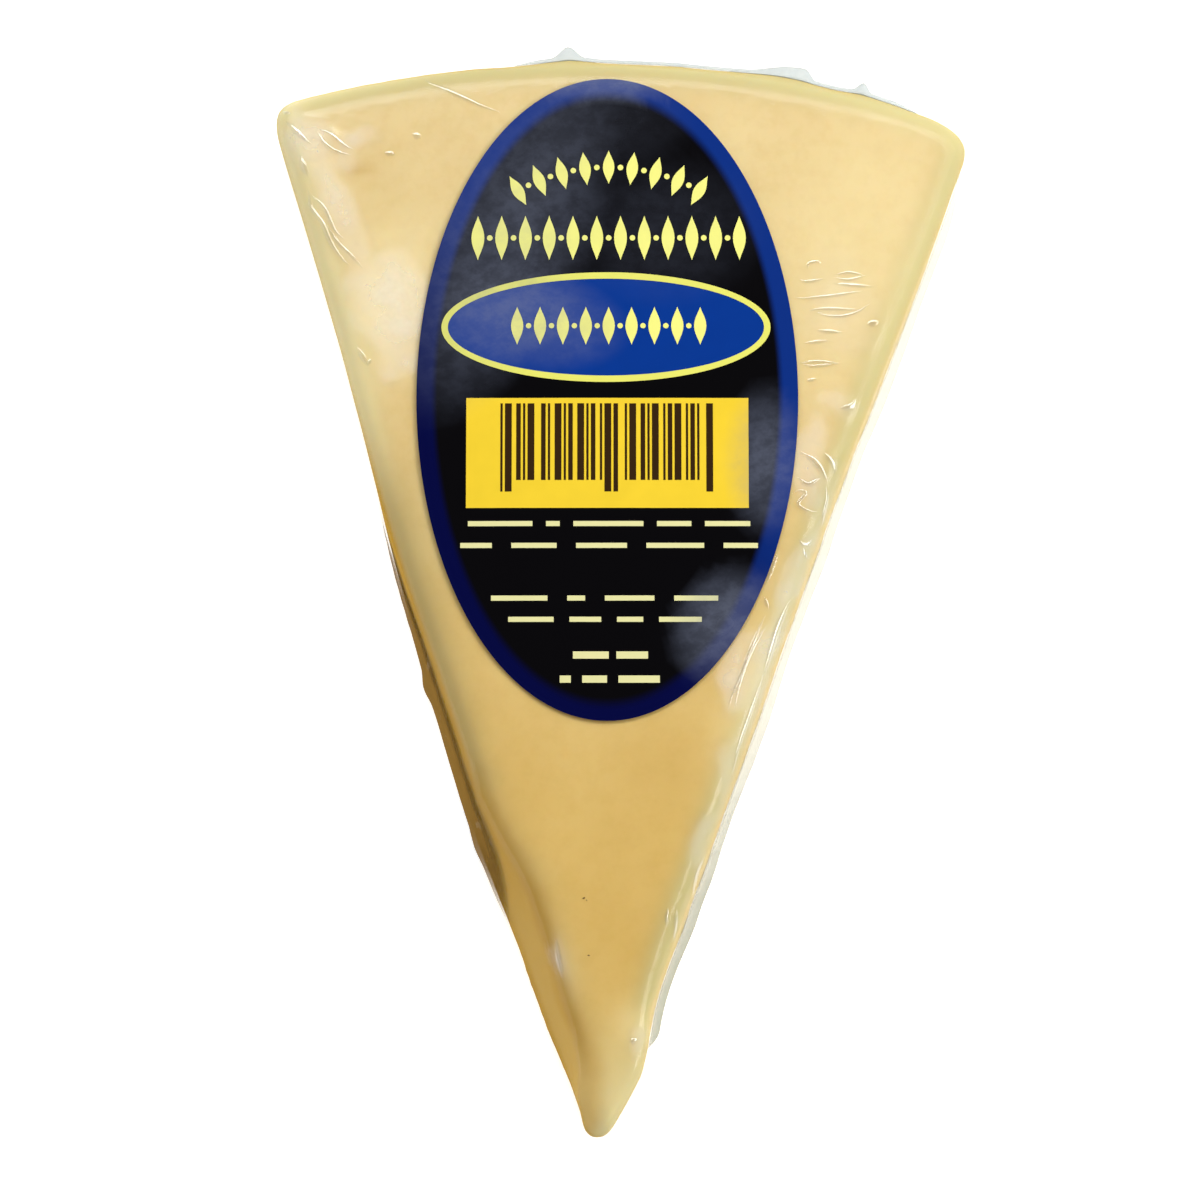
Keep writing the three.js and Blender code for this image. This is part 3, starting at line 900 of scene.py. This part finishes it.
def ends(place, span, fades):
    """1 along a strip, falling to 0 at its two ends."""
    start = min(1, max(0, (place - span[0]) / fades[0]))
    end = min(1, max(0, (span[1] - place) / fades[1]))
    return math.sin(start * math.pi / 2) * math.sin(end * math.pi / 2)


def lobe(place, at, before, after):
    """A smooth hump: 1 at its middle and 0 past either side."""
    share = (place - at) / (after if place > at else before)
    return math.cos(share * math.pi / 2) ** 2 if abs(share) < 1 else 0.0


class WEDGE_OT_film(bpy.types.Operator):
    """The clear film, drawn onto the cheese, with its soft folds and crinkles"""

    bl_idname = "wedge_pack.film"
    bl_label = "Film"

    def execute(self, context):
        look = settings().film
        mesh = bare_wedge("clear_film", look.voxel)
        points, out = coordinates(mesh), normals(mesh)
        x, y, up = points[:, 0] / MM, points[:, 1] / MM, out[:, 2]
        relief = film_relief(x, y) * smooth_step(0.3, 0.9, up)
        on_wall = smooth_step(0.6, 0.1, np.abs(up))
        wall = np.flatnonzero(on_wall > 0)
        relief[wall] += 0.14 * on_wall[wall] * broad_waves(points[wall] * np.array([1, 1, 0.5]), 5.5, 7)
        relief += 0.04 * broad_waves(points, 12, 1)
        points += out * (relief * MM)[:, None]
        points[:, 2] = np.clip(points[:, 2], 0, None)
        put_coordinates(mesh, points)
        stray_x, stray_y = broad_waves(points, 5, 11) * 3.0, broad_waves(points, 5, 13) * 3.0
        on_face = crinkle_share(x + stray_x, y + stray_y) * smooth_step(0.2, 0.6, up)
        on_walls = 0.4 * on_wall * smooth_step(-0.3, 0.1, out[:, 0])
        put_attribute(mesh, "crinkle", blurred(mesh, np.maximum(on_face, on_walls), 6))
        edge = smooth_step(0.998, 0.97, up) * smooth_step(0.2, 0.5, up) * smooth_step(-20, 20, y)
        put_attribute(mesh, "gloss", 0.032 - 0.024 * edge)
        TREES["film"] = search_tree(mesh)
        piece = finished("clear_film", mesh, [film_material("clear_vacuum_film", True)])
        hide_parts(WEDGE_NODE)
        return {"FINISHED"}


class WEDGE_OT_welds(bpy.types.Operator):
    """The pouch's welded edges, and the doubled film that lies on the left wall"""

    bl_idname = "wedge_pack.welds"
    bl_label = "Welds"

    def execute(self, context):
        look = settings().film
        right, left, rind = (-66.8, 65.2), (-48.8, 14.0), (-15.8, 44.2)

        def right_weld(place, across):
            wave = 0.8 * math.sin(2 * math.pi * (place + 0.77) / 44)
            reach = 1.15 + 0.12 * math.sin(2 * math.pi * (place + 0.77) / 26)
            stand = -0.15 + (reach + 0.15) * across * ends(place, right, (3, 14))
            # the weld hides more towards the tip, so its shaded tint shows darker there: painted shade
            shade_to_tip = 0.30 + 0.5 * float(smooth_step(-12, -66, place)) * (0.4 + 0.6 * across)
            return 13 - 1.5 * across + wave, stand, shade_to_tip

        def left_flap(place, across):
            top = 5 + 15 * ends(place, left, (16, 22))
            height = top + (2.6 - top) * across
            lobes = 0.6 * lobe(place, -12.8, 3, 3) + 0.35 * lobe(place, -36.8, 3.5, 3.5)
            low = math.exp(-(((height - 4) / 2.2) ** 2))
            ripple = 0.12 * math.sin(place * 1.9 + 1.2 * across) * across * (1 - across)
            stand = 0.06 + (0.32 + lobes) * low * ends(place, left, (8, 20)) + ripple
            return height, stand, float(smooth_step(0, 0.55, across)) * ends(place, left, (20, 26))

        def rind_weld(place, across):
            lobes = 1.4 * lobe(place, -7.8, 2.6, 2.6) + 1.3 * lobe(place, 27.2, 9, 1.8)
            lobes += 1.2 * lobe(place, 35.8, 1.5, 1.5)
            return 19.6 - 0.5 * across, -0.15 + (0.5 + lobes) * across * ends(place, rind, (4, 4)), 1.0

        for name, side, span, shape, tint, solid, layers, shine in (
            ("right_weld", "right", right, right_weld, look.shaded_weld, 0.95, 1.0, 0.2),
            # the flap's brown, which fully hides the wall behind it, is painted shade
            ("left_flap", "left", left, left_flap, look.doubled_film_shade, 1.0, 0.4, 0.0),
            ("rind_weld", "rind", rind, rind_weld, look.weld, 0.5, 1.0, 0.4),
        ):
            bm = wall_ribbon(side, span, shape)
            bmesh.ops.solidify(bm, geom=bm.faces[:], thickness=look.weld_thickness * layers)
            bmesh.ops.recalc_face_normals(bm, faces=bm.faces)
            finished(name, bm, [welded_film_material(name + "_film", tint, solid, shine)])
        return {"FINISHED"}


def smooth_route(points, share):
    """A point and the direction along a smooth line through these points, at a share of its length."""
    flat = [Vector((x, y)) for x, y in points]
    gaps = [(b - a).length for a, b in zip(flat, flat[1:])]
    goal = share * sum(gaps)
    for i, gap in enumerate(gaps):
        if goal <= gap or i == len(gaps) - 1:
            break
        goal -= gap
    before = flat[i - 1] if i else flat[0] * 2 - flat[1]
    after = flat[i + 2] if i + 2 < len(flat) else flat[-1] * 2 - flat[-2]
    start, end = flat[i], flat[i + 1]
    t = min(1, goal / gap)
    ahead_start, ahead_end = (end - before) / 2, (after - start) / 2
    point = (
        start * (2 * t**3 - 3 * t**2 + 1)
        + ahead_start * (t**3 - 2 * t**2 + t)
        + end * (3 * t**2 - 2 * t**3)
        + ahead_end * (t**3 - t**2)
    )
    ahead = (
        start * (6 * t**2 - 6 * t)
        + ahead_start * (3 * t**2 - 4 * t + 1)
        + end * (6 * t - 6 * t**2)
        + ahead_end * (3 * t**2 - 2 * t)
    )
    return point, ahead.normalized()


CREASE_SKIRT = 0.1  # mm by which a crease runs out on either side, where it has faded
CREASE_SINK = 0.015  # mm by which its sides lie under the film


class WEDGE_OT_creases(bpy.types.Operator):
    """The film's pinched creases: narrow ridges that taper out at both ends"""

    bl_idname = "wedge_pack.creases"
    bl_label = "Creases"

    def execute(self, context):
        bm = bmesh.new()
        shown = bm.verts.layers.float.new("shown")
        for width, height, route in CREASES:
            size = sum(math.dist(a, b) for a, b in zip(route, route[1:]))
            columns = max(6, int(size / 0.35))
            made = bmesh.ops.create_grid(bm, x_segments=columns, y_segments=6, size=0.5)
            for vert in made["verts"]:
                share, side = vert.co.x + 0.5, vert.co.y * 2
                point, ahead = smooth_route(route, share)
                taper = math.sin(math.pi * min(0.98, max(0.02, share))) ** 0.6
                reach = side * (width / 2 + CREASE_SKIRT) * taper
                x, y = point.x - ahead.y * reach, point.y + ahead.x * reach
                rise = height * taper * (1 - side**2) - CREASE_SINK
                vert[shown] = (1 - side**2) * taper
                vert.co = Vector((x, y, on_face("film", x, y) + rise)) * MM
        finished("film_creases", bm, [film_material("creased_vacuum_film", False)])
        return {"FINISHED"}


class WEDGE_OT_label(bpy.types.Operator):
    """The oval paper label, with its blue band"""

    bl_idname = "wedge_pack.label"
    bl_label = "Label"

    def execute(self, context):
        look = settings().label
        bm = disc(24, 160)
        middle = LABEL_MIDDLE / MM
        half = LABEL_HALF / MM
        for vert in bm.verts:
            vert.co.x = middle.x + vert.co.x * half.x
            vert.co.y = middle.y + vert.co.y * half.y
        on_label(bm, 0.0)
        bmesh.ops.recalc_face_normals(bm, faces=bm.faces)
        if sum(face.normal.z for face in bm.faces) < 0:
            bmesh.ops.reverse_faces(bm, faces=bm.faces)
        bmesh.ops.solidify(bm, geom=bm.faces[:], thickness=look.thickness)
        bm.normal_update()
        for face in bm.faces:
            face.material_index = 0 if face.normal.z > 0.5 else 1
        for edge in bm.edges:
            edge.smooth = edge.calc_face_angle(0) < math.radians(30)
        piece = with_sheen(finished("oval_label", bm, [label_material(), paper_material()]))
        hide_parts(LABEL_NODE)
        return {"FINISHED"}


def print_on_label(name, bm, lift, ink_name, ink):
    """Makes a flat bmesh in mm into a layer of print, lift mm above the label's face."""
    on_label(bm, lift)
    bm.normal_update()
    for face in bm.faces:
        if face.normal.z < 0:
            face.normal_flip()
    return with_sheen(finished(name, bm, [ink_material(ink_name, ink)]))


def add_block(bm, centre, size, turn=0.0, step=1.2):
    """Adds a flat rectangle, in mm, in pieces small enough to follow the label."""
    columns = max(1, math.ceil(size[0] / step))
    rows = max(1, math.ceil(size[1] / step))
    place = Matrix.Translation((centre[0], centre[1], 0)) @ Matrix.Rotation(turn, 4, "Z")
    made = bmesh.ops.create_grid(bm, x_segments=columns, y_segments=rows, size=0.5)
    bmesh.ops.scale(bm, vec=(size[0], size[1], 1), verts=made["verts"])
    bmesh.ops.transform(bm, matrix=place, verts=made["verts"])
    return made["verts"]


def add_lozenge(bm, centre, size, turn=0.0):
    """Adds a pointed leaf shape, in mm: a grid whose columns narrow towards its ends."""
    made = bmesh.ops.create_grid(bm, x_segments=2, y_segments=10, size=0.5)
    for vert in made["verts"]:
        vert.co.x *= size[0] * max(0.02, math.cos(math.pi * vert.co.y)) ** 1.2
        vert.co.y *= size[1]
    place = Matrix.Translation((centre[0], centre[1], 0)) @ Matrix.Rotation(turn, 4, "Z")
    bmesh.ops.transform(bm, matrix=place, verts=made["verts"])


def add_ornament(bm, i, centre, size, dot, turn=0.0):
    """Adds the next piece of a row, in mm: a leaf, or between two leaves a dot."""
    if i % 2:
        place = Matrix.Translation((centre[0], centre[1], 0))
        bmesh.ops.create_circle(bm, cap_ends=True, radius=dot, segments=16, matrix=place)
    else:
        add_lozenge(bm, centre, size, turn)


OVAL_CENTRE = (-2.2, 37.7)
OVAL_HALF = (24.1, 8.15)
RING_WIDTH = 0.95
PANEL_CENTRE = (-2.0, 19.1)
PANEL_SIZE = (41.2, 16.2)
BAR_TOP, BAR_BOTTOM, GUARD_BOTTOM = 26.4, 15.1, 13.4
BARS_FROM, BARS_TO = -17.6, 13.9
BAR_UNIT = 0.33
BAR_WIDTHS = (1, 3, 2, 1, 3, 2, 1, 3, 1, 2, 3, 1, 2)
GAP_WIDTHS = (1, 2, 1, 1, 3, 1, 2, 1, 1, 2, 1)
ARCH_CENTRE, ARCH_RADIUS = (-1.8, 34.6), 27.0  # the upper row of leaves, on an arc
ARCH_COUNT, ARCH_STEP = 17, 3.7  # leaves and dots on it, and degrees from one to the next
LEAF_ROWS = (  # straight rows: (height on the label, half width, leaves and dots, size of a leaf, radius of a dot)
    (51.0, 19.2, 23, (1.9, 6.6), 0.42),
    (37.9, 13.4, 17, (1.8, 5.6), 0.4),
)
SMALL_PRINT = (  # rows of short lines: (height on the label, from, to, thickness, lengths of its words), all in mm
    (8.7, -22.3, 18.8, 0.75, (9.4, 2.0, 10.2, 5.0, 6.6)),
    (5.5, -23.4, 19.9, 0.75, (4.6, 6.6, 7.4, 8.4, 5.0)),
    (-2.2, -18.9, 14.1, 0.75, (8.2, 2.6, 7.2, 6.4)),
    (-5.3, -16.4, 11.7, 0.75, (6.6, 4.6, 3.8, 6.2)),
    (-10.5, -7.0, 3.9, 1.05, (5.2, 4.6)),
    (-14.0, -8.9, 5.6, 1.05, (1.6, 3.6, 6.0)),
)


def ellipse_band(bm, middle, half, width, sides=160, steps=3):
    """Adds a flat ring along an ellipse, in mm, width wide inwards."""
    made = bmesh.ops.create_grid(bm, x_segments=sides, y_segments=steps, size=0.5)
    for vert in made["verts"]:
        angle = 2 * math.pi * (vert.co.x + 0.5)
        inset = width * (0.5 - vert.co.y)
        vert.co.x = middle[0] + (half[0] - inset) * math.cos(angle)
        vert.co.y = middle[1] + (half[1] - inset) * math.sin(angle)
    bmesh.ops.remove_doubles(bm, verts=made["verts"], dist=0.001)


class WEDGE_OT_print(bpy.types.Operator):
    """The label's print: fields of colour, bars, and plain lines and leaves where its words were"""

    bl_idname = "wedge_pack.print"
    bl_label = "Print"

    def execute(self, context):
        look = settings().label
        bm = disc(20, 160)
        for vert in bm.verts:
            vert.co.x = OVAL_CENTRE[0] + vert.co.x * (OVAL_HALF[0] - RING_WIDTH / 2)
            vert.co.y = OVAL_CENTRE[1] + vert.co.y * (OVAL_HALF[1] - RING_WIDTH / 2)
        print_on_label("print_blue_oval", bm, 0.02, "blue_ink", look.oval)

        bm = bmesh.new()
        ellipse_band(bm, OVAL_CENTRE, OVAL_HALF, RING_WIDTH)
        print_on_label("print_ring", bm, 0.05, "ring_ink", look.ring)

        bm = bmesh.new()
        add_block(bm, PANEL_CENTRE, PANEL_SIZE)
        print_on_label("print_panel", bm, 0.02, "yellow_ink", look.panel)

        bm = bmesh.new()
        place, i = BARS_FROM, 0
        while place < BARS_TO - 0.2:
            wide = min(BAR_WIDTHS[i % len(BAR_WIDTHS)] * BAR_UNIT, BARS_TO - place)
            gap = GAP_WIDTHS[i % len(GAP_WIDTHS)] * BAR_UNIT
            share = (place - BARS_FROM) / (BARS_TO - BARS_FROM)
            guard = share < 0.06 or 0.47 < share < 0.53 or share > 0.94  # these bars reach lower
            bottom = GUARD_BOTTOM if guard else BAR_BOTTOM
            add_block(bm, (place + wide / 2, (BAR_TOP + bottom) / 2), (wide, BAR_TOP - bottom))
            place += wide + gap
            i += 1
        print_on_label("print_bars", bm, 0.045, "dark_brown_ink", look.bars)

        bm = bmesh.new()
        for height, start, end, thick, words in SMALL_PRINT:
            space = (end - start - sum(words)) / max(1, len(words) - 1)
            place = start
            for word in words:
                add_block(bm, (place + word / 2, height), (word, thick))
                place += word + space
        print_on_label("print_small_lines", bm, 0.02, "pale_ink", look.pale_ink)

        bm = bmesh.new()
        for i in range(ARCH_COUNT):
            angle = math.radians(90 + (i - ARCH_COUNT // 2) * ARCH_STEP)
            x = ARCH_CENTRE[0] + ARCH_RADIUS * math.cos(angle)
            y = ARCH_CENTRE[1] + ARCH_RADIUS * math.sin(angle)
            add_ornament(bm, i, (x, y), (1.7, 5.0), 0.42, angle - math.pi / 2)
        for height, half_width, count, size, dot in LEAF_ROWS:
            for i in range(count):
                x = ARCH_CENTRE[0] + half_width * (2 * i / (count - 1) - 1)
                add_ornament(bm, i, (x, height), size, dot)
        print_on_label("print_leaves", bm, 0.05, "bold_ink", look.bold_ink)
        return {"FINISHED"}


SOFTBOXES = (  # (name, place and size in metres, tint): one at the right, and a long one behind
    ("key_softbox", (0.50, 0.16, 0.46), (0.90, 0.34), (1.0, 0.985, 0.95)),
    ("back_softbox", (-0.08, 0.44, 0.62), (0.90, 0.22), (0.97, 0.985, 1.0)),
)
CAMERA_AIM = Vector((-3.069, -2.510, 24.05))  # mm
CAMERA_RISE = 84  # degrees above the table
CAMERA_DISTANCE = 0.5  # metres


class WEDGE_OT_stage(bpy.types.Operator):
    """Floor, lights and camera"""

    bl_idname = "wedge_pack.stage"
    bl_label = "Stage"

    def execute(self, context):
        look = settings().stage
        scene = context.scene
        bm = bmesh.new()
        bmesh.ops.create_grid(bm, x_segments=1, y_segments=1, size=look.floor_size / 2)
        bmesh.ops.translate(bm, verts=bm.verts, vec=(0, 0, -0.2 * MM))
        mesh = bpy.data.meshes.new("floor")
        bm.to_mesh(mesh)
        bm.free()
        floor = bpy.data.objects.new("floor", mesh)
        scene.collection.objects.link(floor)
        material, tree, output = new_material("white_table")
        glow = {"Emission Color": (1, 1, 1, 1), "Emission Strength": 0.66}  # keeps it white, without a shadow
        surfaced(tree, output, {"Base Color": opaque(look.floor_colour), "Roughness": 0.8, **glow})
        mesh.materials.append(material)

        world = bpy.data.worlds.new("studio")
        world.use_nodes = True
        tree = world.node_tree
        height = add(tree, "SeparateXYZ", None, {"Vector": add(tree, "TexCoord").outputs["Generated"]}).outputs["Z"]
        overhead = ranged(tree, height, 0.80, 0.96, 1.0, 0.12, smooth=True)  # dark above, as round a camera
        sky = blend_colours(tree, overhead, (0.0, 0.0, 0.0, 1), (0.97, 0.985, 1.0, 1))
        tree.links.new(sky, tree.nodes["Background"].inputs["Color"])
        tree.nodes["Background"].inputs["Strength"].default_value = look.room_light
        scene.world = world

        powers = (look.key_power, look.fill_power)
        for (name, place, size, tint), power in zip(SOFTBOXES, powers):
            lamp = bpy.data.lights.new(name, "AREA")
            lamp.shape = "RECTANGLE"
            lamp.size, lamp.size_y = size
            lamp.energy = power
            lamp.color = tint
            light = bpy.data.objects.new(name, lamp)
            light.location = place
            aim = Vector((0, 0, 0.02)) - Vector(place)
            light.rotation_euler = aim.to_track_quat("-Z", "Y").to_euler()
            scene.collection.objects.link(light)

        aim = CAMERA_AIM * MM
        rise = math.radians(CAMERA_RISE)
        camera_data = bpy.data.cameras.new("camera")
        camera_data.lens = look.lens
        camera_data.sensor_width = 36
        camera_data.clip_start = 0.01
        camera = bpy.data.objects.new("camera", camera_data)
        camera.location = aim + CAMERA_DISTANCE * Vector((0, -math.cos(rise), math.sin(rise)))
        camera.rotation_euler = (math.radians(90 - CAMERA_RISE), 0, 0)
        scene.collection.objects.link(camera)
        scene.camera = camera
        scene.view_settings.view_transform = "Standard"
        scene.view_settings.look = "None"
        return {"FINISHED"}


class PackSettings(bpy.types.PropertyGroup):
    cheese: PointerProperty(type=CheeseSettings)
    film: PointerProperty(type=FilmSettings)
    label: PointerProperty(type=LabelSettings)
    stage: PointerProperty(type=StageSettings)


OPERATORS = (
    WEDGE_OT_stage,
    WEDGE_OT_cheese,
    WEDGE_OT_film,
    WEDGE_OT_welds,
    WEDGE_OT_creases,
    WEDGE_OT_label,
    WEDGE_OT_print,
)


class WEDGE_PT_panel(bpy.types.Panel):
    """Lists the pieces of the wedge and the stage"""

    bl_label = "Cheese wedge"
    bl_idname = "WEDGE_PT_panel"
    bl_space_type = "VIEW_3D"
    bl_region_type = "UI"
    bl_category = "Cheese wedge"

    def draw(self, context):
        for operator in OPERATORS:
            self.layout.operator(operator.bl_idname)


CLASSES = (CheeseSettings, FilmSettings, LabelSettings, StageSettings, PackSettings, *OPERATORS, WEDGE_PT_panel)


def register():
    for cls in CLASSES:
        bpy.utils.register_class(cls)
    bpy.types.Scene.wedge_pack = PointerProperty(type=PackSettings)


def unregister():
    del bpy.types.Scene.wedge_pack
    for cls in reversed(CLASSES):
        bpy.utils.unregister_class(cls)


def main():
    register()
    for operator in OPERATORS:
        family, name = operator.bl_idname.split(".")
        getattr(getattr(bpy.ops, family), name)()


if __name__ == "__main__":
    main()
